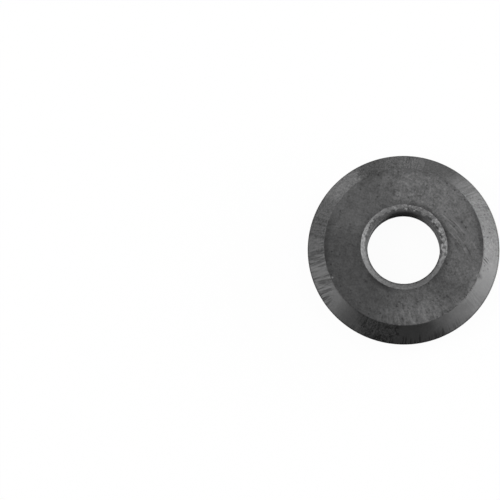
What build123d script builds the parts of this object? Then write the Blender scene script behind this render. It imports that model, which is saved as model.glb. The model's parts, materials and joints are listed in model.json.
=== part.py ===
from build123d import *
import math
import os

# The cutting wheel of a tile cutter: one ring of sintered tungsten carbide with a V-shaped rim.
# It lies on one hub face, as it does on a bench, with its axis along +Z. The origin is the
# middle of the bore, in the plane of the cutting edge, and the two sides are alike.

# Driving dimensions, in millimetres and degrees
OUTER_DIAMETER = 16.0  # over the cutting edge
THICKNESS = 3.0  # from hub face to hub face
AXLE_DIAMETER = 6.0  # the plain pin that the wheel turns on
AXLE_CLEARANCE = 0.05  # on the diameter, so that the wheel spins freely
EDGE_ANGLE = 95.0  # between the two ground bevels, at the cutting edge
EDGE_LAND = 0.04  # width of the blunt tip of the V, which would chip if it were sharper
HUB_EDGE_RADIUS = 0.08  # rounds each ground bevel into its hub face
CHAMFER_WIDTH = 0.58  # of the funnel pressed into each end of the bore, measured radially
CHAMFER_ANGLE = 38.0  # between that funnel and the hub face
CHAMFER_RADIUS = 0.05  # rounds the funnel into the hub face
LEAD_IN_RADIUS = 0.30  # rounds the funnel into the bore wall, so that the pin slides in

# Sizes that follow from them
OUTER_RADIUS = OUTER_DIAMETER / 2
BORE_RADIUS = (AXLE_DIAMETER + AXLE_CLEARANCE) / 2
HUB_HEIGHT = THICKNESS / 2  # of a hub face above the plane of the cutting edge
TIP_HEIGHT = EDGE_LAND / 2
BEVEL_WIDTH = (HUB_HEIGHT - TIP_HEIGHT) / math.tan(math.radians(EDGE_ANGLE / 2))
HUB_RADIUS = OUTER_RADIUS - BEVEL_WIDTH
CHAMFER_DEPTH = CHAMFER_WIDTH * math.tan(math.radians(CHAMFER_ANGLE))


def rounded(outline, corners, radius):
    """The outline with the given corners, (radius, height) points, rounded off."""
    picked = [
        vertex
        for vertex in outline.vertices()
        if any((vertex.center() - Vector(r, 0, z)).length < radius / 10 for r, z in corners)
    ]
    return fillet(picked, radius)


def ring_section():
    """The ring cut through on one side of its axis, in the XZ plane."""
    bore_corner = (BORE_RADIUS, HUB_HEIGHT - CHAMFER_DEPTH)
    funnel_corner = (BORE_RADIUS + CHAMFER_WIDTH, HUB_HEIGHT)
    hub_corner = (HUB_RADIUS, HUB_HEIGHT)
    tip_corner = (OUTER_RADIUS, TIP_HEIGHT)
    upper = [bore_corner, funnel_corner, hub_corner, tip_corner]
    lower = [(r, -z) for r, z in reversed(upper)]
    outline = make_face(Polyline([(r, 0, z) for r, z in upper + lower], close=True))

    def both_sides(*points):
        return [(r, side * z) for r, z in points for side in (1, -1)]

    outline = rounded(outline, both_sides(hub_corner), HUB_EDGE_RADIUS)
    outline = rounded(outline, both_sides(funnel_corner), CHAMFER_RADIUS)
    return rounded(outline, both_sides(bore_corner), LEAD_IN_RADIUS)


def cutting_wheel():
    """The whole wheel, turned from its section."""
    return revolve(ring_section(), Axis.Z, 360)


os.makedirs("parts", exist_ok=True)
wheel = cutting_wheel()
export_step(wheel, "parts/cutting_wheel.step")
print("hub face radius", round(HUB_RADIUS, 3), "volume", round(wheel.volume, 2), "mm3")
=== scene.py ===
# %% [markdown]
# # The cutting wheel of a tile cutter
# A small ring of sintered tungsten carbide, 16 mm across. It is pressed from powder and fired, and then
# only some of it is ground: the two bevels that meet in the cutting edge, and the two flat hub faces.
# The bore and its chamfers keep the grainy skin of the press. This lesson builds the ring from its
# section, gives each surface the marks that its making leaves, and lights it as a small piece of dark
# metal on a white table.

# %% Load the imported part
import json
import math

import bpy
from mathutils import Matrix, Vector


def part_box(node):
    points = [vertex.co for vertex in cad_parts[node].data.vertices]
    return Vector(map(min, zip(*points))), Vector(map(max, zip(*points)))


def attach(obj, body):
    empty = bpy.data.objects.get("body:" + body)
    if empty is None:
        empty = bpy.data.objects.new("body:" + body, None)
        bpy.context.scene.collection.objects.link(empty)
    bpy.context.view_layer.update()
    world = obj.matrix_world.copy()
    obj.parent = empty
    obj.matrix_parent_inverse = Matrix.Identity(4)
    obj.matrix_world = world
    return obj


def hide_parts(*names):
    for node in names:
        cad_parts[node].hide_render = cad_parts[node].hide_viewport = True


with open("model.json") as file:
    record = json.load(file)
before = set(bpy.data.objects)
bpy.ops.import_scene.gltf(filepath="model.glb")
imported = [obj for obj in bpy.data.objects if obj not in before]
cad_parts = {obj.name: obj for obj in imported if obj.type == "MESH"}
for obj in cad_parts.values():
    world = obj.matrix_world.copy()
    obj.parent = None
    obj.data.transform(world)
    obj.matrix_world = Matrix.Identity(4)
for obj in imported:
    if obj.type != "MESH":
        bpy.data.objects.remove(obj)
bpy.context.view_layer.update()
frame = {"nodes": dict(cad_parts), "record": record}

MM = 0.001  # one millimetre in Blender's metres
print("nodes", sorted(frame["nodes"]))

# %% [markdown]
# ## Sizes
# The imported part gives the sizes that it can: the box of the ring, the radius of its bore, and how far
# the plain wall of the bore reaches. The angles and the radii of the corners aren't in it, so they stand
# here as real sizes. All sums below are in millimetres, as on a drawing of such a wheel.

# %% Sizes of the wheel
WHEEL = "cutting_wheel"
low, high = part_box(WHEEL)
bore = next(mount for mount in frame["record"]["mounts"] if mount["name"] == "axle_bore")

OUTER_RADIUS = high.x / MM  # over the cutting edge
HUB_HEIGHT = high.z / MM  # of a hub face above the plane of the edge
BORE_RADIUS = bore["dims"]["r_mm"]
WALL_HEIGHT = bore["dims"]["length_mm"] / 2  # of the end of the plain bore wall above that plane
CHAMFER_WIDTH = 0.58  # of the funnel at each end of the bore
CHAMFER_ANGLE = 38.0  # degrees, between that funnel and the hub face
CHAMFER_RADIUS = 0.05  # where the funnel meets the hub face
LEAD_IN_RADIUS = 0.30  # where it meets the bore wall
EDGE_ANGLE = 95.0  # degrees, between the two bevels
EDGE_LAND = 0.04  # the blunt width of the edge itself
EDGE_RADIUS = 0.008  # of each corner of that land
HUB_EDGE_RADIUS = 0.08  # where a bevel turns into the hub face

BEVEL_WIDTH = (HUB_HEIGHT - EDGE_LAND / 2) / math.tan(math.radians(EDGE_ANGLE / 2))
HUB_RADIUS = OUTER_RADIUS - BEVEL_WIDTH
FUNNEL_RADIUS = BORE_RADIUS + CHAMFER_WIDTH
FUNNEL_FOOT = HUB_HEIGHT - CHAMFER_WIDTH * math.tan(math.radians(CHAMFER_ANGLE))
print("radii: bore", BORE_RADIUS, "hub", round(HUB_RADIUS, 3), "edge", round(OUTER_RADIUS, 3))

# %% [markdown]
# ## Writing node trees as sums
# The shape and the finish below are node trees with a lot of arithmetic in them. Wired by hand, each
# plus and times takes three lines of code. A small class makes it readable: it holds one output socket,
# and its operators add the Math nodes, so that a line such as `1 - mask * 0.5` builds the nodes that it
# describes. One method adds every other kind of node.

# %% Node tools
class Wire:
    """The output of a node, which works in a Python sum: every operator adds its Math node."""

    def __init__(self, board, socket):
        self.board = board
        self.socket = socket

    def __add__(self, other):
        return self.board.maths("ADD", self, other)

    def __sub__(self, other):
        return self.board.maths("SUBTRACT", self, other)

    def __rsub__(self, other):
        return self.board.maths("SUBTRACT", other, self)

    def __mul__(self, other):
        return self.board.maths("MULTIPLY", self, other)

    def __truediv__(self, other):
        return self.board.maths("DIVIDE", self, other)

    __radd__ = __add__
    __rmul__ = __mul__


class Board:
    """A node tree that is being wired up."""

    def __init__(self, tree):
        self.tree = tree
        tree.nodes.clear()

    def node(self, kind, settings=(), sockets=(), output=0):
        """Adds a node: first its settings, then the value or wire of each socket.

        Returns a wire from the named or numbered output, or a list of wires for a list of outputs.
        """
        node = self.tree.nodes.new(kind)
        for name, value in dict(settings).items():
            setattr(node, name, value)
        for name, value in dict(sockets).items():
            self.feed(self.in_use(node.inputs, name), value)
        if not node.outputs:
            return None
        if isinstance(output, (list, tuple)):
            return [Wire(self, self.in_use(node.outputs, name)) for name in output]
        return Wire(self, self.in_use(node.outputs, output))

    def in_use(self, sockets, name):
        """The socket of that name or number, among those that the node's settings have left in use."""
        usable = [socket for socket in sockets if socket.enabled]
        if isinstance(name, int):
            return usable[name]
        return next(socket for socket in usable if socket.name == name)

    def feed(self, socket, value):
        """Links a wire to the socket, or sets its value."""
        if isinstance(value, Wire):
            self.tree.links.new(value.socket, socket)
        else:
            socket.default_value = value

    def maths(self, operation, *values):
        return self.node("ShaderNodeMath", {"operation": operation}, dict(enumerate(values)))

    def vector(self, x, y, z):
        return self.node("ShaderNodeCombineXYZ", {}, {"X": x, "Y": y, "Z": z})

    def parts(self, vector):
        """The X, Y and Z of a vector."""
        return self.node("ShaderNodeSeparateXYZ", {}, {"Vector": vector}, output=("X", "Y", "Z"))

    def scaled(self, vector, factor):
        return self.node("ShaderNodeVectorMath", {"operation": "SCALE"}, {0: vector, "Scale": factor})

    def ramp(self, value, start, end):
        """0 at start and 1 at end, with a soft S between them. It falls where end is lower."""
        sockets = {"Value": value, "From Min": start, "From Max": end}
        return self.node("ShaderNodeMapRange", {"interpolation_type": "SMOOTHSTEP"}, sockets)

    def noise(self, vector, scale=1.0, detail=2.0, roughness=0.5, seed=0.0):
        """A cloudy number from 0 to 1, 0.5 on average, whose patches are about 1 / scale across."""
        sockets = {"Vector": vector, "W": seed, "Scale": scale, "Detail": detail, "Roughness": roughness}
        return self.node("ShaderNodeTexNoise", {"noise_dimensions": "4D"}, sockets)


print("node tools ready:", Wire.__name__, Board.__name__)

# %% [markdown]
# ## Where a point lies on the wheel
# A wheel is easier to describe by radius, angle and height than by X, Y and Z. Marks that go round it
# also have to meet where the angle jumps from 360 back to 0 degrees. So the streaks don't read the angle
# itself: they read a point on a circle, and noise on a circle has no seam. A patch of marks is given by
# its direction from the middle, half its width and an amount. A single mark is given by its X and Y, and
# lies on the upper side only.

# %% Places on the wheel
STREAK_WANDER = 0.012  # radians, by which a streak wavers
BORDER_WANDER = 0.28  # radians, by which the border of a patch wanders
WANDER_SCALE = 1.3  # how often both turn to and fro in a millimetre
OTHER_SIDE = 50.0  # the step in the noise that gives the lower side streaks of its own


class Place:
    """Where a point lies, in millimetres and radians, from its position in metres.

    Depth is the height without its sign, upper and below are 1 on the upper and on the lower side, and
    bearing is the angle with the error that makes the borders of patches wander.
    """

    def __init__(self, board, position):
        self.board = board
        self.position = board.scaled(position, 1 / MM)
        self.x, self.y, self.height = board.parts(self.position)
        self.depth = board.maths("ABSOLUTE", self.height)
        self.upper = board.ramp(self.height, -EDGE_LAND, EDGE_LAND)
        self.below = board.maths("LESS_THAN", self.height, 0.0)
        self.radius = self.distance_from(0.0, 0.0)
        self.angle = self.direction_from(0.0, 0.0)
        self.from_hub = self.radius - HUB_RADIUS
        self.wander = self.cloud(WANDER_SCALE, seed=11.0)
        self.bearing = self.angle + self.wander * BORDER_WANDER

    def distance_from(self, x, y):
        aside, ahead = self.x - x, self.y - y
        return self.board.maths("SQRT", aside * aside + ahead * ahead)

    def direction_from(self, x, y):
        return self.board.maths("ARCTAN2", self.y - y, self.x - x)

    def across(self, degrees, x=0.0, y=0.0):
        """How far the point lies to the left of the line that runs through x, y in that direction."""
        lean = math.radians(degrees)
        return (self.y - y) * math.cos(lean) - (self.x - x) * math.sin(lean)

    def cloud(self, scale, seed, detail=2.0, roughness=0.5):
        """Soft blots that are about 1 / scale millimetres across, from -0.5 to 0.5."""
        return self.board.noise(self.position, scale, detail, roughness, seed) - 0.5

    def grains(self, scale, seed, start, end, detail=2.0, roughness=0.5):
        """1 where such blots, here from 0 to 1, have passed the level end, and 0 before the start."""
        blots = self.board.noise(self.position, scale, detail, roughness, seed)
        return self.board.ramp(blots, start, end)

    def round_about(self, lines, slant=0.0, stretch=1.0):
        """A point for noise whose streaks run out from the hub, lines of them to one turn.

        They lean by slant, in radians for each millimetre, and hold together for stretch millimetres.
        """
        turned = self.angle + self.from_hub * slant + self.wander * STREAK_WANDER
        reach = lines / math.tau
        cosine = self.board.maths("COSINE", turned)
        sine = self.board.maths("SINE", turned)
        outwards = self.radius / stretch + self.below * OTHER_SIDE
        return self.board.vector(cosine * reach, sine * reach, outwards)

    def streaks(self, lines, seed, slant=0.0, stretch=1.0, detail=1.0):
        """Those streaks themselves, from 0 to 1."""
        return self.board.noise(self.round_about(lines, slant, stretch), detail=detail, seed=seed)

    def near(self, degrees, half_width, even=0.3, lean=0.0):
        """1 in that direction from the middle, falling to 0 at half_width degrees to either side.

        Even is the share of the half width before the fall starts. The border wanders, and leans by
        so many radians for each millimetre outwards.
        """
        bearing = self.bearing - self.from_hub * lean if lean else self.bearing
        facing = self.board.maths("COSINE", bearing - math.radians(degrees))
        outside, inside = math.radians(half_width), math.radians(half_width * even)
        return self.board.ramp(facing, math.cos(outside), math.cos(inside))

    def summed(self, patches):
        """The sum of patches: direction and half width in degrees, amount, and maybe even and lean."""
        total = 0.0
        for degrees, half_width, amount, *border in patches:
            total = self.near(degrees, half_width, *border) * amount + total
        return total

    def spot(self, x, y, size):
        """1 at that point of the upper side, falling to 0 at size millimetres from it."""
        return self.board.ramp(self.distance_from(x, y), size, 0.0) * self.upper

    def spotted(self, spots):
        """The sum of spots: x, y, size, amount."""
        total = 0.0
        for x, y, size, amount in spots:
            total = self.spot(x, y, size) * amount + total
        return total


print("places ready:", Place.__name__)

# %% The three surfaces
BEVEL_START = HUB_RADIUS - 0.01  # the bevel's finish begins here, on the rounded edge,
BEVEL_FULL = HUB_RADIUS + 0.05  # and is complete here
BORE_START = FUNNEL_RADIUS + 0.02  # the same for the pressed skin of the chamfer
BORE_FULL = FUNNEL_RADIUS - 0.02


def on_bevel(place, ragged=0.0):
    """1 on a bevel and 0 on a hub face, with their border moved inwards by ragged millimetres."""
    return place.board.ramp(place.radius + ragged, BEVEL_START, BEVEL_FULL)


def in_bore(place, ragged=0.0):
    """1 on the chamfers and the bore wall, with their border moved inwards in the same way."""
    return place.board.ramp(place.radius + ragged, BORE_START, BORE_FULL)


print("hub face", round(FUNNEL_RADIUS, 3), "to", round(HUB_RADIUS, 3), "mm")

# %% [markdown]
# ## The section
# Cut through one side, the ring is an outline of eight corners. On the real wheel none of them is
# sharp. A Bevel modifier could round them on the finished ring, but it would round whole edge loops of a
# dense mesh. It is simpler to round the outline, and to turn the rounded outline into the ring. Each
# arc gets a point just before and after it, so that the shading of the flats next to it stays flat.

# %% Draw the rounded section
ARC_STEPS = 4  # straight pieces that stand for one rounded corner
GUARD = 0.03  # from the end of an arc to the point that keeps the flat beside it flat
WALL_PIECES = 5  # along half of the bore wall
CHAMFER_PIECES = 8  # enough for the grain of the pressed skin
GROUND_PIECES = 6  # along a hub face or a bevel, whose marks are shallow or run the same way


def rounded_corner(before, corner, after, radius):
    """The arc that rounds off a corner, with a guarding point at each end."""
    before, corner, after = Vector(before), Vector(corner), Vector(after)
    back = (before - corner).normalized()
    on = (after - corner).normalized()
    half_angle = back.angle(on) / 2
    run = radius / math.tan(half_angle)
    centre = corner + (back + on).normalized() * radius / math.sin(half_angle)
    start, end = corner + back * run - centre, corner + on * run - centre
    spokes = [start.slerp(end, step / ARC_STEPS) for step in range(ARC_STEPS + 1)]
    arc = [centre + spoke.normalized() * radius for spoke in spokes]
    guard = min(GUARD, radius)
    return [corner + back * (run + guard), *arc, corner + on * (run + guard)]


def between(start, end, pieces):
    """The points that cut the way from start to end into equal pieces, without its ends."""
    return [start.lerp(end, step / pieces) for step in range(1, pieces)]


def upper_section():
    """The upper half of the section, from the middle of the bore wall to the cutting edge."""
    corners = [  # the pieces that the flat before the corner is cut into, the corner, its radius
        (WALL_PIECES, (BORE_RADIUS, FUNNEL_FOOT), LEAD_IN_RADIUS),
        (CHAMFER_PIECES, (FUNNEL_RADIUS, HUB_HEIGHT), CHAMFER_RADIUS),
        (GROUND_PIECES, (HUB_RADIUS, HUB_HEIGHT), HUB_EDGE_RADIUS),
        (GROUND_PIECES, (OUTER_RADIUS, EDGE_LAND / 2), EDGE_RADIUS),
    ]
    ends = [(BORE_RADIUS, 0.0), *[corner for pieces, corner, radius in corners], (OUTER_RADIUS, 0.0)]
    outline = [Vector(ends[0])]
    for number, (pieces, corner, radius) in enumerate(corners):
        arc = rounded_corner(ends[number], corner, ends[number + 2], radius)
        outline += between(outline[-1], arc[0], pieces) + arc
    return outline + [Vector(ends[-1])]


def whole_section():
    """The closed outline, the upper half and its mirror image, so that the faces will point out."""
    upper = upper_section()
    lower = [Vector((point.x, -point.y)) for point in reversed(upper[1:-1])]
    return list(reversed(upper + lower))


section = whole_section()
print("the section has", len(section), "points")

# %% [markdown]
# ## The marks of grinding
# A grinding wheel leaves chatter on the bevels: fine ridges from the hub to the edge, which lean a
# little. It is deep only where the blank shook, and nearly smooth in between. On the left one hard pass
# has left parallel lines. Near the cutting edge there are short dark teeth, where small grains have
# broken out. Shape and finish read the same fields, so that a dark line is also a groove.

# %% Chatter and the lines of a hard pass
CHATTER_LINES = 300  # round the wheel
CHATTER_SLANT = 0.02  # radians for each millimetre outwards
CHATTER_LENGTH = 2.2  # millimetres that a ridge holds together
BROAD_SHARE = 0.75  # of the broad ridges, beside finer and shorter ones
CHATTER_LEAST = 0.05  # its depth outside its patches
CHATTER_PATCHES = (
    (186, 10, 0.3), (167, 14, 0.55, 0.6), (36, 20, 0.5), (84, 10, 0.8), (245, 9, 0.7, 0.5),
    (322, 8, 0.2),
)
STROKE_PATCHES = ((192, 19, 1.25, 0.7, 0.09),)  # where the lines lie
STROKE_LEAN = 8.0  # degrees, up from the X axis
STROKE_PITCH = 0.2  # millimetres, half the way from line to line
STROKE_LENGTH = 1.6  # millimetres that a line holds together


def strokes(place):
    """The parallel lines of one hard pass of the grinding wheel, from -0.5 to 0.5."""
    board = place.board
    along = place.across(STROKE_LEAN - 90.0) / STROKE_LENGTH
    across = place.across(STROKE_LEAN) / STROKE_PITCH
    point = board.vector(along, across, place.height / STROKE_LENGTH)
    lines = board.noise(point, detail=2.0, roughness=0.6, seed=4.0)
    return (board.ramp(lines, 0.38, 0.62) - 0.5) * place.summed(STROKE_PATCHES)


def chatter(place):
    """Ridges across a bevel, about -0.5 to 0.5, deep in their patches and faint elsewhere."""
    broad = place.streaks(CHATTER_LINES, 2.0, CHATTER_SLANT, CHATTER_LENGTH)
    fine = place.streaks(CHATTER_LINES * 1.6, 6.0, CHATTER_SLANT, 0.5)
    mixed = broad * BROAD_SHARE + fine * (1 - BROAD_SHARE)
    ridges = place.board.ramp(mixed, 0.4, 0.58) - 0.5
    return ridges * (place.summed(CHATTER_PATCHES) + CHATTER_LEAST) + strokes(place)


print("a ridge every", round(2 * math.tau * HUB_RADIUS / CHATTER_LINES, 2), "mm at the hub")

# %% Teeth
TEETH_PATCHES = ((212, 8, 0.8), (282, 34, 0.8), (250, 22, 0.5), (60, 16, 0.5), (100, 20, 0.3))
TOOTH_LENGTH = 1.6  # millimetres, from the shortest to the longest
TOOTH_START = OUTER_RADIUS + 0.15  # where the shortest would begin, beyond the edge,
TOOTH_FULL = OUTER_RADIUS + 0.7  # and be complete


def teeth(place):
    """1 in the short dark nicks that reach inwards from the cutting edge."""
    board = place.board
    lines = place.streaks(CHATTER_LINES * 1.5, 8.0, CHATTER_SLANT, 3.0)
    length = place.streaks(CHATTER_LINES * 0.5, 3.0, 0.0, 30.0, detail=2.0)
    reach = board.ramp(place.radius + length * TOOTH_LENGTH, TOOTH_START, TOOTH_FULL)
    return board.ramp(lines, 0.53, 0.42) * reach * place.summed(TEETH_PATCHES)


print(len(TEETH_PATCHES), "patches of teeth")

# %% How deep the marks are
CHATTER_RELIEF = 6.0  # thousandths of a millimetre, as all of these
TOOTH_RELIEF = 4.0
SWEEP_RELIEF = 5.0  # of the slow unevenness
DIMPLE_RELIEF = 1.2  # of the smaller unevenness of the lapped faces
GRAIN_RELIEF = 28.0  # of the pressed skin


def relief(place, seed):
    """How far each point stands out from the turned shape, in thousandths of a millimetre."""
    bevel, pressed = on_bevel(place), in_bore(place)
    ground = (chatter(place) * CHATTER_RELIEF - teeth(place) * TOOTH_RELIEF) * bevel
    sweep = place.cloud(0.9, seed, detail=1.0) * SWEEP_RELIEF * (1 - pressed)
    dimples = place.cloud(2.6, seed, detail=1.0) * DIMPLE_RELIEF * (1 - bevel) * (1 - pressed)
    grain = place.cloud(5.5, seed, roughness=0.6) * GRAIN_RELIEF * pressed
    return ground + sweep + dimples + grain


print("grain of the pressed skin:", GRAIN_RELIEF, "thousandths of a millimetre")

# %% [markdown]
# ## Turning the section into the ring
# The ring could be made with a Screw modifier or with bmesh's spin. Geometry Nodes are used here,
# because the ring isn't only turned: it also gets the marks of its making, and those are fields over its
# surface. The tree lays a grid, rolls it up so that each column is the section at one angle, closes its
# seams, and then moves each point along its normal by a few thousandths of a millimetre: chatter on the
# bevels, a slow unevenness on all that is ground, and the grain of the skin in the bore.

# %% The tree that turns the section
RING_INPUTS = (
    ("Section", "NodeSocketGeometry"),
    ("Columns", "NodeSocketInt"),
    ("Relief", "NodeSocketFloat"),
    ("Seed", "NodeSocketFloat"),
    ("Finish", "NodeSocketMaterial"),
)
MICRON = MM / 1000
GRID_SIDE = 1.0  # metres, of the flat sheet, which is centred on the origin
SEAM_GAP = 1e-7  # metres, under which the two ends of the rolled sheet are one


def rolled_sheet(board, outline, columns):
    """A sheet of columns and rows, rolled up round the axis, each row at one point of the outline."""
    points = board.node("GeometryNodeAttributeDomainSize", {}, {"Geometry": outline})
    cells = {"Vertices X": columns + 1, "Vertices Y": points + 1}
    sheet = board.node("GeometryNodeMeshGrid", {}, {"Size X": GRID_SIDE, "Size Y": GRID_SIDE, **cells})
    across, along = board.parts(board.node("GeometryNodeInputPosition"))[:2]
    turn = (across + GRID_SIDE / 2) * math.tau
    row = board.maths("MODULO", board.maths("ROUND", (along + GRID_SIDE / 2) * points), points)
    spot = board.node("GeometryNodeInputPosition")
    sampled = {"Geometry": outline, "Value": spot, "Index": row}
    point = board.node("GeometryNodeSampleIndex", {"data_type": "FLOAT_VECTOR"}, sampled)
    radius, height = board.parts(point)[::2]
    cosine, sine = board.maths("COSINE", turn), board.maths("SINE", turn)
    rolled = board.vector(radius * cosine, radius * sine, height)
    ring = board.node("GeometryNodeSetPosition", {}, {"Geometry": sheet, "Position": rolled})
    return board.node("GeometryNodeMergeByDistance", {}, {"Geometry": ring, "Distance": SEAM_GAP})


def turning_tree():
    """Geometry Nodes that turn a closed outline in the XZ plane into the marked ring."""
    tree = bpy.data.node_groups.new("turned_and_marked_ring", "GeometryNodeTree")
    board = Board(tree)
    for name, kind in RING_INPUTS:
        tree.interface.new_socket(name, in_out="INPUT", socket_type=kind)
    tree.interface.new_socket("Ring", in_out="OUTPUT", socket_type="NodeSocketGeometry")
    names = [name for name, kind in RING_INPUTS]
    outline, columns, strength, seed, finish = board.node("NodeGroupInput", output=names)

    ring = rolled_sheet(board, outline, columns)
    place = Place(board, board.node("GeometryNodeInputPosition"))
    outwards = relief(place, seed) * strength * MICRON
    offset = board.scaled(board.node("GeometryNodeInputNormal"), outwards)
    ring = board.node("GeometryNodeSetPosition", {}, {"Geometry": ring, "Offset": offset})
    ring = board.node("GeometryNodeSetShadeSmooth", {}, {"Geometry": ring, "Shade Smooth": True})
    ring = board.node("GeometryNodeRealizeInstances", {}, {"Geometry": ring})
    ring = board.node("GeometryNodeSetMaterial", {}, {"Geometry": ring, "Material": finish})
    board.node("NodeGroupOutput", {}, {"Ring": ring})
    return tree


print("inputs of the turning tree:", [name for name, kind in RING_INPUTS])

# %% [markdown]
# ## Single marks
# Some marks are one of a kind: a light or dark place, or a few short scratches side by side. Painting
# them into an image would need a map of the ring, so each is a small formula instead, put where it lies
# by its X and Y. Pits are too many for that: they lie in some of the cells of a loose net.

# %% Short scratches and pits
HATCH_LEVELS = (0.2, 0.9)  # of a wave, between which a scratch rises
PIT_EVEN = 0.3  # the share of a pit's radius in which it is fully dark
PIT_OTHER_SIDE = 31.0  # the step that gives the two sides pits of their own


def hatched(place, hatches):
    """The sum of short parallel scratches: x, y, size, degrees, spacing, change."""
    board = place.board
    total = 0.0
    for x, y, size, degrees, spacing, change in hatches:
        wave = board.maths("COSINE", place.across(degrees, x, y) * (math.tau / spacing))
        total = board.ramp(wave, *HATCH_LEVELS) * place.spot(x, y, size) * change + total
    return total


def pits(place, spacing, size, share):
    """1 in round pits of that radius, which lie in that share of the cells of a loose net."""
    board = place.board
    side = board.maths("SIGN", place.height)
    point = board.vector(place.x + side * PIT_OTHER_SIDE, place.y, 0.0)
    settings = {"voronoi_dimensions": "2D", "feature": "F1"}
    sockets = {"Vector": point, "Scale": 1 / spacing, "Randomness": 1.0}
    distance, colour = board.node("ShaderNodeTexVoronoi", settings, sockets, ("Distance", "Color"))
    chosen = board.maths("LESS_THAN", board.parts(colour)[0], share)
    return board.ramp(distance * spacing, size, size * PIT_EVEN) * chosen


print("single marks ready:", hatched.__name__, pits.__name__)

# %% [markdown]
# ## The lapped hub faces
# The faces are lapped flat on a plate, which leaves a satin grey that is mottled all over: blots of a
# few tenths of a millimetre, faint curved streaks from the plate, and dark pits. A last rub has left
# streaks that spread like a fan in front of the bore, and a few deeper scratches curve to the right of
# it. A border of painted shade darkens the faces along both edges, with nicks beside the bevel, and a
# small bright spot by the bevel is a painted glint. Each kind of mark comes from a short function of
# its own, and can be left out by itself.

# %% Streaks of the lapping plate
LAPPING_CENTRE = (-7.5, -7.0)  # round which they curve
LAPPING_STRENGTH = 0.5
SCRATCHED_SPOTS = ((4.5, 1.4, 2.2, 0.3), (5.2, -0.8, 1.0, 0.2))  # where long scratches lie
FAN_CENTRE = (-1.5, 0.5)  # from which the streaks of the last rub spread
FAN_PATCH = (280, 44)  # where that rub shows
FAN_RADII = (4.0, 5.6)  # from the axis, between which it comes in
FAN_STRENGTH = 1.5
LAPPING_SCALES = (5.5, 9.0)  # how often streaks change, in a millimetre outwards and in a radian
SCRATCH_SCALES = (6.0, 3.6)
FAN_SCALES = (1.5, 32.0)


def round_centre(place, centre, outwards, along):
    """A point for noise whose streaks go by the distance and the direction from that centre."""
    distance, turned = place.distance_from(*centre), place.direction_from(*centre)
    return place.board.vector(distance * outwards, turned * along, place.height)


def lapping(place):
    """The faint streaks that lie everywhere, from -0.5 to 0.5."""
    point = round_centre(place, LAPPING_CENTRE, *LAPPING_SCALES)
    return place.board.noise(point, detail=2.0, roughness=0.55, seed=3.0) - 0.5


def scratches(place):
    """The long scratches of the lapping plate, from -0.5 to 0.5."""
    point = round_centre(place, LAPPING_CENTRE, *SCRATCH_SCALES)
    lines = place.board.noise(point, detail=2.0, roughness=0.62, seed=12.0)
    return place.board.ramp(lines, 0.38, 0.64) - 0.5


def rub(place):
    """The streaks that spread like a fan, from -0.5 to 0.5."""
    point = round_centre(place, FAN_CENTRE, *FAN_SCALES)
    return place.board.noise(point, detail=2.0, roughness=0.55, seed=13.0) - 0.5


print("the streaks of the plate curve round", LAPPING_CENTRE)

# %% The deepest scratches
GROOVE_CENTRE = (-2.8, -4.8)  # round which they curve
GROOVE_WIDTH = 0.09  # millimetres, from the middle of a scratch to its side
GROOVE_WANDER = 0.2  # millimetres
GROOVE_EVEN = 0.4  # the share of its length in which it is at its deepest
GROOVES = (  # distance from that centre, start and end in degrees, change
    (9.64, 45.0, 53.0, 0.4), (9.42, 38.5, 47.0, 0.55), (9.86, 35.5, 47.5, 0.45),
    (9.01, 32.0, 45.0, 0.55), (9.27, 33.0, 39.0, 0.45), (9.97, 27.0, 31.0, 0.4),
    (9.74, 41.5, 48.0, -0.45), (9.58, 36.5, 42.5, -0.25), (9.33, 24.0, 33.5, -0.35),
)


def grooves(place):
    """The change that the deepest scratches bring to the upper face."""
    board = place.board
    distance = place.distance_from(*GROOVE_CENTRE) + place.wander * GROOVE_WANDER
    direction = place.direction_from(*GROOVE_CENTRE)
    total = 0.0
    for radius, start, end, change in GROOVES:
        middle, half = math.radians((start + end) / 2), math.radians((end - start) / 2)
        aside = board.maths("ABSOLUTE", distance - radius)
        ahead = board.maths("ABSOLUTE", direction - middle)
        line = board.ramp(aside, GROOVE_WIDTH, 0.0) * board.ramp(ahead, half, half * GROOVE_EVEN)
        total = line * change + total
    return total * place.upper


print(len(GROOVES), "deep scratches")

# %% Blots, flecks and spots of the faces
BROAD_BLOTS = 0.5  # how strong the broad blots are,
FINE_BLOTS = 1.4  # and the fine ones
MOTTLED_PATCHES = ((65, 80, 0.45), (290, 50, 0.35), (345, 30, 0.25, 0.5))  # where they stand out more
FLECK_PATCHES = ((70, 42, 0.34), (350, 26, 0.24), (286, 24, 0.2))  # where bright flecks lie
FACE_SPOTS = (
    (3.3, 3.5, 1.1, 0.18), (4.4, 0.2, 0.8, -0.12), (5.18, 1.65, 0.15, -0.5), (4.85, 2.11, 0.17, -0.45),
    (2.5, 4.4, 0.14, -0.35), (-1.78, 5.3, 0.6, 0.16), (-3.2, -2.92, 0.3, -0.3), (2.9, -3.9, 1.4, -0.13),
    # the small bright spot at -5.95, -2.6, by the corner to the bevel, is a painted glint
    (3.6, -4.9, 0.9, 0.08), (1.5, -5.7, 0.7, 0.1), (-5.95, -2.6, 0.12, 2.2), (-3.47, 5.35, 0.28, -0.3),
    (-0.6, 6.03, 0.3, -0.2), (-0.2, -4.7, 0.12, 0.5), (5.08, -0.19, 0.16, 0.6), (1.1, -4.5, 1.1, -0.14),
    (-0.7, -4.95, 0.9, -0.12), (-1.9, 4.7, 0.7, 0.09), (1.9, 4.4, 0.8, 0.08),
)
FACE_HATCHES = (
    (4.2, -4.52, 0.5, 120.0, 0.15, 0.3),
    (-1.65, 4.4, 0.55, 71.0, 0.2, 0.25),
    (-5.64, 1.72, 0.5, 168.0, 0.22, 0.25),
)


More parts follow.
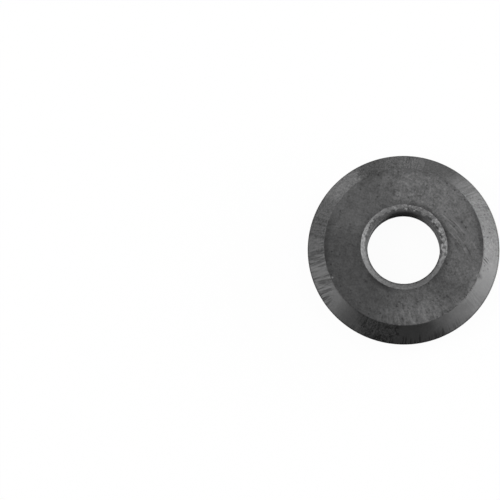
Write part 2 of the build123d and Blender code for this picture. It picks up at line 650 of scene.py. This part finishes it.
def face_marks(place, fan):
    """All fine marks of the faces, lighter above 0 and darker below. Fan is 1 in the last rub."""
    scratched = place.spotted(SCRATCHED_SPOTS)
    blots = place.cloud(1.8, seed=4.0, detail=1.0) * BROAD_BLOTS
    blots = blots + place.cloud(5.5, seed=14.0, detail=3.0, roughness=0.8) * FINE_BLOTS
    blots = blots * (1 + place.summed(MOTTLED_PATCHES)) * (1 - scratched * 1.2)
    flecks = place.grains(4.2, 21.0, 0.57, 0.66) * place.summed(FLECK_PATCHES)
    streaks = lapping(place) * (LAPPING_STRENGTH - fan * 0.3) + rub(place) * fan * FAN_STRENGTH
    streaks = streaks + scratches(place) * scratched + grooves(place)
    return blots + flecks + streaks + place.spotted(FACE_SPOTS) + hatched(place, FACE_HATCHES)


print(len(FACE_SPOTS), "spots and", len(FACE_HATCHES), "hatches on the upper face")

# %% Tone of the hub faces
FACE_TONE = 0.098  # the share of white light that the grey sends back
FACE_PATCHES = ((60, 60, 0.46), (352, 32, 0.26), (140, 30, 0.12), (212, 60, -0.22), (285, 26, 0.22))
BORE_BORDER = 0.55  # millimetres, the width of the border of painted shade beside the bore
EDGE_BORDER = 0.6  # beside the bevel
EDGE_BORDER_FULL = 0.06  # from the bevel to where that one is complete
BORE_BORDER_LEAST, EDGE_BORDER_LEAST = 0.12, 0.05  # how much darker they are everywhere
BORE_BORDER_PATCHES = ((236, 22, 0.34), (345, 60, 0.24), (45, 55, 0.34), (285, 40, 0.14))
EDGE_BORDER_PATCHES = ((14, 28, 0.32), (178, 26, 0.3), (90, 45, 0.16), (326, 22, -0.42))
NICK_LINES = 260  # round the wheel
NICK_PATCHES = ((320, 20, 0.35),)  # where the face is nicked beside the bevel
FACE_PITS = (0.8, 0.11, 0.3)  # spacing, size, share


def border_shade_and_nicks(place):
    """Painted shade on the faces beside the bore and the bevel, and the nicks beside the bevel."""
    board = place.board
    by_bore = board.ramp(place.radius, FUNNEL_RADIUS + BORE_BORDER, FUNNEL_RADIUS)
    by_edge = board.ramp(place.radius, HUB_RADIUS - EDGE_BORDER, HUB_RADIUS - EDGE_BORDER_FULL)
    nicks = board.ramp(place.streaks(NICK_LINES, 17.0, 0.0, 0.5), 0.52, 0.42)
    nicked = nicks * place.summed(NICK_PATCHES)
    edge = by_edge * (EDGE_BORDER_LEAST + place.summed(EDGE_BORDER_PATCHES) + nicked)
    return by_bore * (BORE_BORDER_LEAST + place.summed(BORE_BORDER_PATCHES)) + edge


def face_tone(place):
    """The grey of the hub faces."""
    fan = place.near(*FAN_PATCH) * place.board.ramp(place.radius, *FAN_RADII)
    broad = 1 + place.summed(FACE_PATCHES) + fan * 0.16
    pitted = 1 - pits(place, *FACE_PITS) * 0.4
    return broad * (1 + face_marks(place, fan)) * (1 - border_shade_and_nicks(place)) * pitted * FACE_TONE


print("hub face tone", FACE_TONE)

# %% [markdown]
# ## The ground bevels
# The bevels are ground finer than the faces are lapped, and are a little glossier. They carry the
# chatter and the teeth, a fine speckle and small facets where the wheel has cut, a few dark blots, pits
# on the right, and some lighter and darker areas, of which the darkest, in front, is painted shade. A
# thin dark line of painted shade runs along the cutting edge.

# %% Marks of the bevels
SPECKLE_PATCHES = (  # where the fine speckle stands out more, or less
    (14, 30, 1.5), (52, 30, 0.65), (95, 50, 1.3), (150, 40, 1.4), (166, 16, 0.6, 0.5), (248, 20, 0.85),
    (328, 36, -0.25, 0.6),
)
SPECKLE_LEAST = 0.6
FACET_PATCHES = ((94, 20, 0.8), (117, 10, 0.5), (140, 40, 0.35), (252, 16, 0.9))
FACET_LINES = 130  # round the wheel
FACET_LENGTH = 0.45  # millimetres
BEVEL_SPOTS = (
    (6.3, -2.48, 0.34, -0.5), (7.3, -1.3, 0.16, 0.2), (-2.57, 6.35, 0.7, -0.3),
    (-0.94, 6.68, 0.7, -0.18),
)
BEVEL_HATCHES = (
    (6.8, -1.14, 0.46, -42.0, 0.21, -0.95),
    (-4.03, 5.84, 0.4, -49.0, 0.45, 0.35),
)


def facets(place):
    """The small facets, each in a grey of its own, from -0.5 to 0.5."""
    board = place.board
    point = place.round_about(FACET_LINES, CHATTER_SLANT, FACET_LENGTH)
    colour = board.node("ShaderNodeTexVoronoi", {"voronoi_dimensions": "3D"}, {"Vector": point}, "Color")
    return board.parts(colour)[0] - 0.5


def bevel_marks(place):
    """All fine marks of the bevels, lighter above 0 and darker below."""
    speckle = place.cloud(5.0, seed=9.0, detail=3.0, roughness=0.8)
    speckle = speckle * (SPECKLE_LEAST + place.summed(SPECKLE_PATCHES))
    clouds = place.cloud(1.1, seed=5.0) * 0.3
    cut = chatter(place) * 0.6 + facets(place) * place.summed(FACET_PATCHES)
    return cut + speckle + clouds + place.spotted(BEVEL_SPOTS) + hatched(place, BEVEL_HATCHES)


print(len(FACET_PATCHES), "patches of facets")

# %% Tone of the bevels
BEVEL_TONE = 0.1
# lighter and darker areas; the darkest, in front at 263 degrees, is painted shade
BEVEL_PATCHES = (
    (43, 16, 0.19), (67, 12, -0.19), (111, 9, -0.24, 0.6), (89, 9, -0.05), (142, 8, -0.13),
    (156, 14, -0.12), (190, 16, -0.03), (205, 14, -0.07), (263, 31, -0.38, 0.75, 0.09), (290, 9, 0.09),
    (305, 14, -0.18),
)
BLOT_PATCHES = ((256, 14, 0.5, 0.4), (116, 12, 0.25))  # where dark blots lie
PITTED_PATCHES = ((8, 34, 0.5),)
BEVEL_PITS = (0.4, 0.09, 0.4)  # spacing, size, share
EDGE_SHADE_LINE = (OUTER_RADIUS - 0.12, OUTER_RADIUS - 0.03)  # where the dark line of painted shade along the edge comes in


def bevel_tone(place):
    """The grey of the two bevels."""
    blots = place.grains(1.8, 24.0, 0.5, 0.38, detail=3.0, roughness=0.65)
    nicked = (1 - teeth(place) * 0.6) * (1 - blots * place.summed(BLOT_PATCHES))
    # painted shade: a thin dark line along the cutting edge
    painted_light = 1 - place.board.ramp(place.radius, *EDGE_SHADE_LINE) * 0.45
    pitted = 1 - pits(place, *BEVEL_PITS) * (0.06 + place.summed(PITTED_PATCHES))
    # the darkest of these patches, in front, is painted shade
    broad = 1 + place.summed(BEVEL_PATCHES)
    return broad * (1 + bevel_marks(place)) * nicked * painted_light * pitted * BEVEL_TONE


print("bevel tone", BEVEL_TONE)

# %% [markdown]
# ## The pressed bore
# The chamfers and the bore keep the skin that the press and the furnace left: a dry grain that scatters
# the light. The axle rubs the outer part of the chamfer pale and fairly smooth. Its inner part, where it
# rounds into the wall, stays darker and pitted. Over the back half that dark part is wider, which is
# painted shade, and at the very back more painted shade darkens it and the wall. The rubbed part and
# the wall are painted lighter where they face the lamps, and the rubbed part and the lip darker in
# front: painted light and shade. The border between the two parts is jagged, because the skin comes
# off in flakes, and dark specks and pale grains lie along it.

# %% Tone of the chamfers
RUBBED_TONE = 0.17
PITTED_TONE = 0.1
# the darkest grey of the painted shade at the back of the bore
SHADE_TONE = 0.012
# painted light and shade: the rubbed part is lighter where it faces the lamps, and darker in front
PAINTED_CHAMFER_LIGHT = ((268, 68, -0.3), (168, 30, 0.3), (16, 46, 0.34), (345, 20, -0.08))
UNRUBBED_LEAST = 0.06  # the share of the chamfer's width that is never rubbed
# over the back half, in the wide patch, the wider dark part is painted shade
UNRUBBED_AND_SHADE_PATCHES = ((97, 115, 0.36, 0.6), (150, 28, 0.13))  # where more of it is dark
JAGGED_LEAST = 0.03  # how far the border strays, in shares of that width
JAGGED_PATCHES = ((50, 78, 0.26, 0.7), (152, 34, 0.09), (345, 30, 0.1))  # where it strays further
FLAKY_PATCHES = ((15, 50, 0.55), (80, 50, 0.25), (150, 45, 0.25), (340, 30, 0.12))
SPECK_PATCHES = ((146, 24, 0.8, 0.6), (70, 44, 0.5, 0.6))  # where dark specks lie along the border
SPARK_PATCHES = ((82, 30, 0.75, 0.5), (34, 24, 0.6))  # where pale grains stand out
SHADE_RISE = (0.42, -0.06)  # the shares of the width between which the painted shade thickens
BLEND = 0.06  # of the border, in the same shares, to either side


def chamfer_tone(place, flakes, grain, shade_share):
    """The grey of the chamfers, with flakes and grain, and their painted light and shade."""
    board = place.board
    outwards = (place.radius - BORE_RADIUS) / CHAMFER_WIDTH
    start = UNRUBBED_LEAST + place.summed(UNRUBBED_AND_SHADE_PATCHES)
    strays = outwards + flakes * (JAGGED_LEAST + place.summed(JAGGED_PATCHES))
    rubbed = board.ramp(strays, start - BLEND, start + BLEND)
    # painted shade: the inner part darkens towards the wall at the back of the bore
    painted_shade = board.ramp(outwards, *SHADE_RISE) * shade_share
    inner = PITTED_TONE * (1 - painted_shade) + SHADE_TONE * painted_shade
    # the rubbed part, with its painted light and shade
    outer = RUBBED_TONE * (1 + place.summed(PAINTED_CHAMFER_LIGHT))
    skin = 1 + grain * 2.0 + flakes * place.summed(FLAKY_PATCHES)
    border = board.ramp(outwards, start - 0.25, start) * board.ramp(outwards, start + 0.3, start + 0.1)
    specks = place.grains(5.5, 31.0, 0.54, 0.62, detail=1.0) * border * place.summed(SPECK_PATCHES)
    sparks = place.grains(6.0, 32.0, 0.56, 0.64, detail=1.0) * place.summed(SPARK_PATCHES)
    return (inner * (1 - rubbed) + outer * rubbed) * skin * (1 - specks) * (1 + sparks)


print("chamfer tones", RUBBED_TONE, PITTED_TONE, SHADE_TONE)

# %% Tone of the bore
LIP_TONE = 0.088  # of the wall and of the steep lip above it, without the painted shade
# painted light and shade: the lip is darker in front, the wall lighter where it faces the lamps
LIP_PATCHES = ((265, 90, -0.5, 0.7),)
WALL_PATCHES = ((28, 50, 0.85), (146, 40, 1.2))
# painted shade at the back of the bore
SHADE_PATCHES = ((86, 34, 0.35, 0.4),)
LIP_TOP = (WALL_HEIGHT + 0.33, WALL_HEIGHT + 0.14)  # the depths between which chamfer turns into lip,
LIP_FOOT = (WALL_HEIGHT + 0.16, WALL_HEIGHT - 0.05)  # and lip into wall


def wall_tone(place, grain, shade_share):
    """The grey of the bore wall and of the lip above it, with their painted light and shade."""
    down = place.board.ramp(place.depth, *LIP_FOOT)
    patches = place.summed(LIP_PATCHES) * (1 - down) + place.summed(WALL_PATCHES) * down
    return (LIP_TONE * (1 + patches) * (1 - shade_share) + SHADE_TONE * shade_share) * (1 + grain * 1.2)


def bore_tone(place):
    """The grey of the chamfers and the bore wall."""
    flakes = place.grains(3.4, 5.0, 0.42, 0.58, detail=3.0) - 0.5
    grain = place.cloud(5.5, seed=3.0, detail=3.0, roughness=0.75)
    shade_share = place.summed(SHADE_PATCHES)
    wall = place.board.ramp(place.depth + flakes * 0.05, *LIP_TOP)
    chamfer = chamfer_tone(place, flakes, grain, shade_share)
    return chamfer * (1 - wall) + wall_tone(place, grain, shade_share) * wall


print("wall tone", LIP_TONE)

# %% [markdown]
# ## One finish for the whole wheel
# The three surfaces are one piece of carbide, so they share one material, which tells them apart by
# where they lie. So their borders can be ragged, where chips have come off, or soft, where a painted
# highlight lies across the corner between bevel and face; elsewhere that corner has a line of painted
# shade. The ground surfaces are a metal with a satin sheen, and the pressed skin is matt.

# %% Borders between the surfaces
RAGGED_LEAST = 0.07  # millimetres, by which the edge of the bevels strays
RAGGED_PATCHES = ((134, 24, 0.4), (315, 30, 0.4))  # where it strays further
CHIP_STRAY = 0.12  # millimetres, by which the edge of the chamfer strays
CHIPPED_PATCHES = ((325, 26, 0.09), (215, 32, 0.035), (30, 52, -0.03))  # where it lies further in, or out
HIGHLIGHT_PATCHES = ((133, 15, 0.36, 0.5),)  # a painted highlight across the corner of bevel and face
HIGHLIGHT_RADII = (6.3, 6.9)  # from the axis, between which that comes in
HIGHLIGHT_STRAY = 1.6  # millimetres, by which its border strays
CORNER_SHADE_PATCHES = ((12, 62, 0.2, 0.6), (335, 30, 0.1), (226, 26, 0.18))  # painted shade on the corner
CORNER_SHADE_MIDDLE = 0.02  # millimetres from the hub face to the middle of that line of painted shade
CORNER_SHADE_WIDTH = (0.1, 0.02)  # from there to where it begins, and to where it is complete


def surfaces(place):
    """1 on the bevels, 1 in the bore, and the painted highlight and shade where bevel meets face."""
    board = place.board
    chips = place.cloud(3.6, seed=7.0, detail=3.0, roughness=0.6)
    bevel = on_bevel(place, chips * (RAGGED_LEAST + place.summed(RAGGED_PATCHES)))
    pressed = in_bore(place, chips * CHIP_STRAY + place.summed(CHIPPED_PATCHES))
    # painted highlight: bevel and face are paler across their corner in one place
    painted_light = board.ramp(place.radius + chips * HIGHLIGHT_STRAY, *HIGHLIGHT_RADII) * place.summed(HIGHLIGHT_PATCHES)
    # painted shade: a dark line along that corner in some directions
    aside = board.maths("ABSOLUTE", place.from_hub - CORNER_SHADE_MIDDLE)
    corner_shade = board.ramp(aside, *CORNER_SHADE_WIDTH) * place.summed(CORNER_SHADE_PATCHES)
    return bevel, pressed, (1 + painted_light) * (1 - corner_shade)


print("the corner is worn over", HIGHLIGHT_RADII, "mm")

# %% Carbide
DARK_CARBIDE = (0.0, 0.0, 0.0, 1.0)
PALE_CARBIDE = (0.5, 0.5, 0.503, 1.0)  # the palest that a tone can become
LAPPED_ROUGHNESS = 0.5
GROUND_ROUGHNESS = 0.36
PRESSED_ROUGHNESS = 0.75
BUMP_HEIGHT = 1e-5  # metres


def bumps(place, bevel, pressed):
    """Relief too fine for the mesh: the grain of the faces and the coarser skin of the bore."""
    fine = place.board.noise(place.position, scale=9.0, detail=2.0, seed=1.0)
    coarse = place.board.noise(place.position, scale=5.5, detail=3.0, roughness=0.65, seed=3.0)
    height = fine * (1 - bevel * 0.8) * (1 - pressed) * 0.4 + coarse * pressed
    sockets = {"Strength": 1.0, "Distance": BUMP_HEIGHT, "Height": height}
    return place.board.node("ShaderNodeBump", {}, sockets)


def carbide():
    """The material of the wheel."""
    material = bpy.data.materials.new("tungsten_carbide")
    material.use_nodes = True
    board = Board(material.node_tree)
    place = Place(board, board.node("ShaderNodeTexCoord", output="Object"))

    bevel, pressed, corner = surfaces(place)
    ground = (face_tone(place) * (1 - bevel) + bevel_tone(place) * bevel) * corner
    tone = ground * (1 - pressed) + bore_tone(place) * pressed
    share = {"Factor": tone / PALE_CARBIDE[0], "A": DARK_CARBIDE, "B": PALE_CARBIDE}
    smoother, rougher = LAPPED_ROUGHNESS - GROUND_ROUGHNESS, PRESSED_ROUGHNESS - LAPPED_ROUGHNESS
    sockets = {
        "Base Color": board.node("ShaderNodeMix", {"data_type": "RGBA"}, share),
        "Metallic": 1 - pressed,
        "Roughness": (LAPPED_ROUGHNESS - bevel * smoother) + pressed * rougher,
        "Specular IOR Level": 0.0,
        "Normal": bumps(place, bevel, pressed),
    }
    shader = board.node("ShaderNodeBsdfPrincipled", {}, sockets)
    board.node("ShaderNodeOutputMaterial", {}, {"Surface": shader})
    return material


finish = carbide()
print("the finish has", len(finish.node_tree.nodes), "nodes")

# %% [markdown]
# ## Making the wheel
# The outline goes to the tree as loose points, and the tree's result is read back as a plain mesh. The
# modifier goes with its object, so nothing live is left on the wheel. The volume is a good test of the
# turning: it comes out negative if the faces point inwards, and far off if a corner is wrong.

# %% Turn the ring and dress it
COLUMNS = 960  # steps round the ring, few enough to keep the mesh under 200,000 triangles
RING_VALUES = {"Columns": COLUMNS, "Relief": 1.0, "Seed": 7.0, "Finish": finish}


def outline_object():
    """The section as loose vertices in the XZ plane, in metres, with the turning tree on it."""
    mesh = bpy.data.meshes.new("section")
    mesh.from_pydata([(point.x * MM, 0.0, point.y * MM) for point in section], [], [])
    outline = bpy.data.objects.new("section", mesh)
    bpy.context.scene.collection.objects.link(outline)
    modifier = outline.modifiers.new("turning", "NODES")
    modifier.node_group = turning_tree()
    for item in modifier.node_group.interface.items_tree:
        if item.name in RING_VALUES:
            modifier[item.identifier] = RING_VALUES[item.name]
    return outline


def build_wheel():
    """The marked ring as a plain mesh object at the origin."""
    outline = outline_object()
    bpy.context.view_layer.update()
    turned = outline.evaluated_get(bpy.context.evaluated_depsgraph_get())
    mesh = bpy.data.meshes.new_from_object(turned)
    bpy.data.objects.remove(outline)
    wheel = bpy.data.objects.new("carbide_wheel", mesh)
    bpy.context.scene.collection.objects.link(wheel)
    return wheel


def volume_of(mesh):
    """Cubic millimetres inside a closed mesh."""
    cones = [face.area * face.normal.dot(face.center) / 3 for face in mesh.polygons]
    return sum(cones) / MM**3


wheel = build_wheel()
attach(wheel, "root")
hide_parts(WHEEL)
wheel.data.calc_loop_triangles()
print("triangles", len(wheel.data.loop_triangles), "volume", round(volume_of(wheel.data), 2), "mm3")

# %% [markdown]
# ## The table
# The wheel lies on a white table. To the lamps the table is a mid grey, so that it doesn't fill the bore
# with light from below. To the camera, and to reflections in the metal, it is mostly a white glow with
# some white paint in it, and the paint keeps the wheel's soft shadow.

# %% The white table
TABLE_GREY = (0.35, 0.35, 0.35, 1.0)
TABLE_PAINT = (0.9, 0.9, 0.9, 1.0)
TABLE_GLOW = (1.0, 1.0, 1.0, 1.0)
GLOW_SHARE = 0.96
TABLE_HALF = 1.5  # metres
TABLE_GAP = 2e-6  # metres under the wheel, so that the two don't share a plane


def table_finish():
    """White to the camera, grey to the lamps."""
    material = bpy.data.materials.new("white_table")
    material.use_nodes = True
    board = Board(material.node_tree)
    kinds = ("Is Camera Ray", "Is Glossy Ray", "Is Transmission Ray")
    camera_ray, glossy_ray, through_ray = board.node("ShaderNodeLightPath", output=kinds)
    seen = board.maths("MINIMUM", camera_ray + glossy_ray + through_ray, 1.0)
    grey = board.node("ShaderNodeBsdfDiffuse", {}, {"Color": TABLE_GREY})
    paint = board.node("ShaderNodeBsdfDiffuse", {}, {"Color": TABLE_PAINT})
    glow = board.node("ShaderNodeEmission", {}, {"Color": TABLE_GLOW, "Strength": 1.0})
    white = board.node("ShaderNodeMixShader", {}, {0: GLOW_SHARE, 1: paint, 2: glow})
    surface = board.node("ShaderNodeMixShader", {}, {0: seen, 1: grey, 2: white})
    board.node("ShaderNodeOutputMaterial", {}, {"Surface": surface})
    return material


def white_table():
    """A large square under the wheel."""
    mesh = bpy.data.meshes.new("table")
    half, height = TABLE_HALF, low.z - TABLE_GAP
    corners = [(-half, -half, height), (half, -half, height), (half, half, height), (-half, half, height)]
    mesh.from_pydata(corners, [], [(0, 1, 2, 3)])
    mesh.materials.append(table_finish())
    table = bpy.data.objects.new("table", mesh)
    bpy.context.scene.collection.objects.link(table)
    return table


table = white_table()
print("table at", round(table.data.vertices[0].co.z / MM, 3), "mm")

# %% [markdown]
# ## The light
# Dark metal shows what it reflects, so the lamps are placed by what each surface faces. Seen from above,
# a bevel reflects what stands low beside the wheel: a bright box stands low on the right, small cards on
# the left, and nothing in front, where the bevel stays dark. The hub face reflects what is overhead, and
# the chamfers what is opposite them. The room itself is a dim, even grey.

# %% The room and the lamps
ROOM_BRIGHTNESS = 0.15
LAMP_DISTANCE = 0.3  # metres from the wheel
OVERHEAD = 89.0  # degrees of elevation from which a lamp's width isn't narrowed
LAMPS = (  # azimuth and elevation of the middle, how far it spans both ways, brightness
    ("key", 22, 12, 60, 20, 10.5),
    ("key_edge", 345, 12, 15, 20, 7.0),
    ("key_fade", 322, 12, 30, 20, 3.0),
    ("back_card", 90, 12, 60, 20, 0.6),
    ("upper_left_card", 135, 12, 12, 20, 5.5),
    ("left_card", 180, 12, 20, 20, 2.2),
    ("lower_left_card", 205, 12, 20, 20, 2.6),
    ("left_box", 180, 40, 60, 36, 3.3),
    ("right_box", 30, 58, 60, 26, 2.2),
    ("ceiling", 0, 90, 40, 40, 0.7),
)


def direction(azimuth, elevation):
    """The unit vector that points there, both in degrees, with azimuth 0 along +X."""
    a, e = math.radians(azimuth), math.radians(elevation)
    return Vector((math.cos(a) * math.cos(e), math.sin(a) * math.cos(e), math.sin(e)))


def spanned(degrees):
    """How wide a lamp is that spans that angle, seen from the wheel."""
    return 2 * LAMP_DISTANCE * math.tan(math.radians(degrees / 2))


def soft_box(name, azimuth, elevation, across, upwards, brightness):
    """A rectangle of light aimed at the wheel. Its brightness is what a mirror would show of it."""
    lamp = bpy.data.lights.new(name, "AREA")
    lamp.shape = "RECTANGLE"
    narrowed = math.cos(math.radians(elevation)) if elevation < OVERHEAD else 1.0
    lamp.size = spanned(across) * narrowed
    lamp.size_y = spanned(upwards)
    lamp.energy = brightness * math.pi * lamp.size * lamp.size_y
    box = bpy.data.objects.new(name, lamp)
    box.location = direction(azimuth, elevation) * LAMP_DISTANCE
    box.rotation_mode = "QUATERNION"
    box.rotation_quaternion = direction(azimuth, elevation).to_track_quat("Z", "Y")
    box.visible_camera = False
    bpy.context.scene.collection.objects.link(box)
    return box


def light_the_room():
    """A dim, even world."""
    world = bpy.data.worlds.new("room")
    world.use_nodes = True
    board = Board(world.node_tree)
    sockets = {"Color": (1.0, 1.0, 1.0, 1.0), "Strength": ROOM_BRIGHTNESS}
    board.node("ShaderNodeOutputWorld", {}, {"Surface": board.node("ShaderNodeBackground", {}, sockets)})
    bpy.context.scene.world = world


light_the_room()
boxes = [soft_box(*lamp) for lamp in LAMPS]
print(len(boxes), "lamps")

# %% [markdown]
# ## The camera
# The wheel is seen almost from above, 79.5 degrees up from the table, through a long lens from 0.87 m.
# It stands right of the middle of the picture, so the camera is moved aside, along its own axes, and
# not turned.

# %% The camera
CAMERA_ELEVATION = 79.5
CAMERA_DISTANCE = 0.869  # metres
FRAME_WIDTH = 0.0417  # metres across the picture, at the wheel
ASIDE = -0.01281  # metres
UP = 0.00001
SENSOR_WIDTH = 36.0


def make_camera():
    """The camera of the main picture."""
    data = bpy.data.cameras.new("camera")
    data.sensor_width = SENSOR_WIDTH
    data.lens = SENSOR_WIDTH * CAMERA_DISTANCE / FRAME_WIDTH
    data.clip_start = 0.01
    data.clip_end = 10.0
    camera = bpy.data.objects.new("camera", data)
    back = direction(-90, CAMERA_ELEVATION)
    turned = back.to_track_quat("Z", "Y")
    camera.rotation_mode = "QUATERNION"
    camera.rotation_quaternion = turned
    camera.location = back * CAMERA_DISTANCE + turned @ Vector((ASIDE, UP, 0.0))
    bpy.context.scene.collection.objects.link(camera)
    bpy.context.scene.camera = camera
    return camera


camera = make_camera()
bpy.context.scene.view_settings.view_transform = "Standard"
print("lens", round(camera.data.lens), "mm")
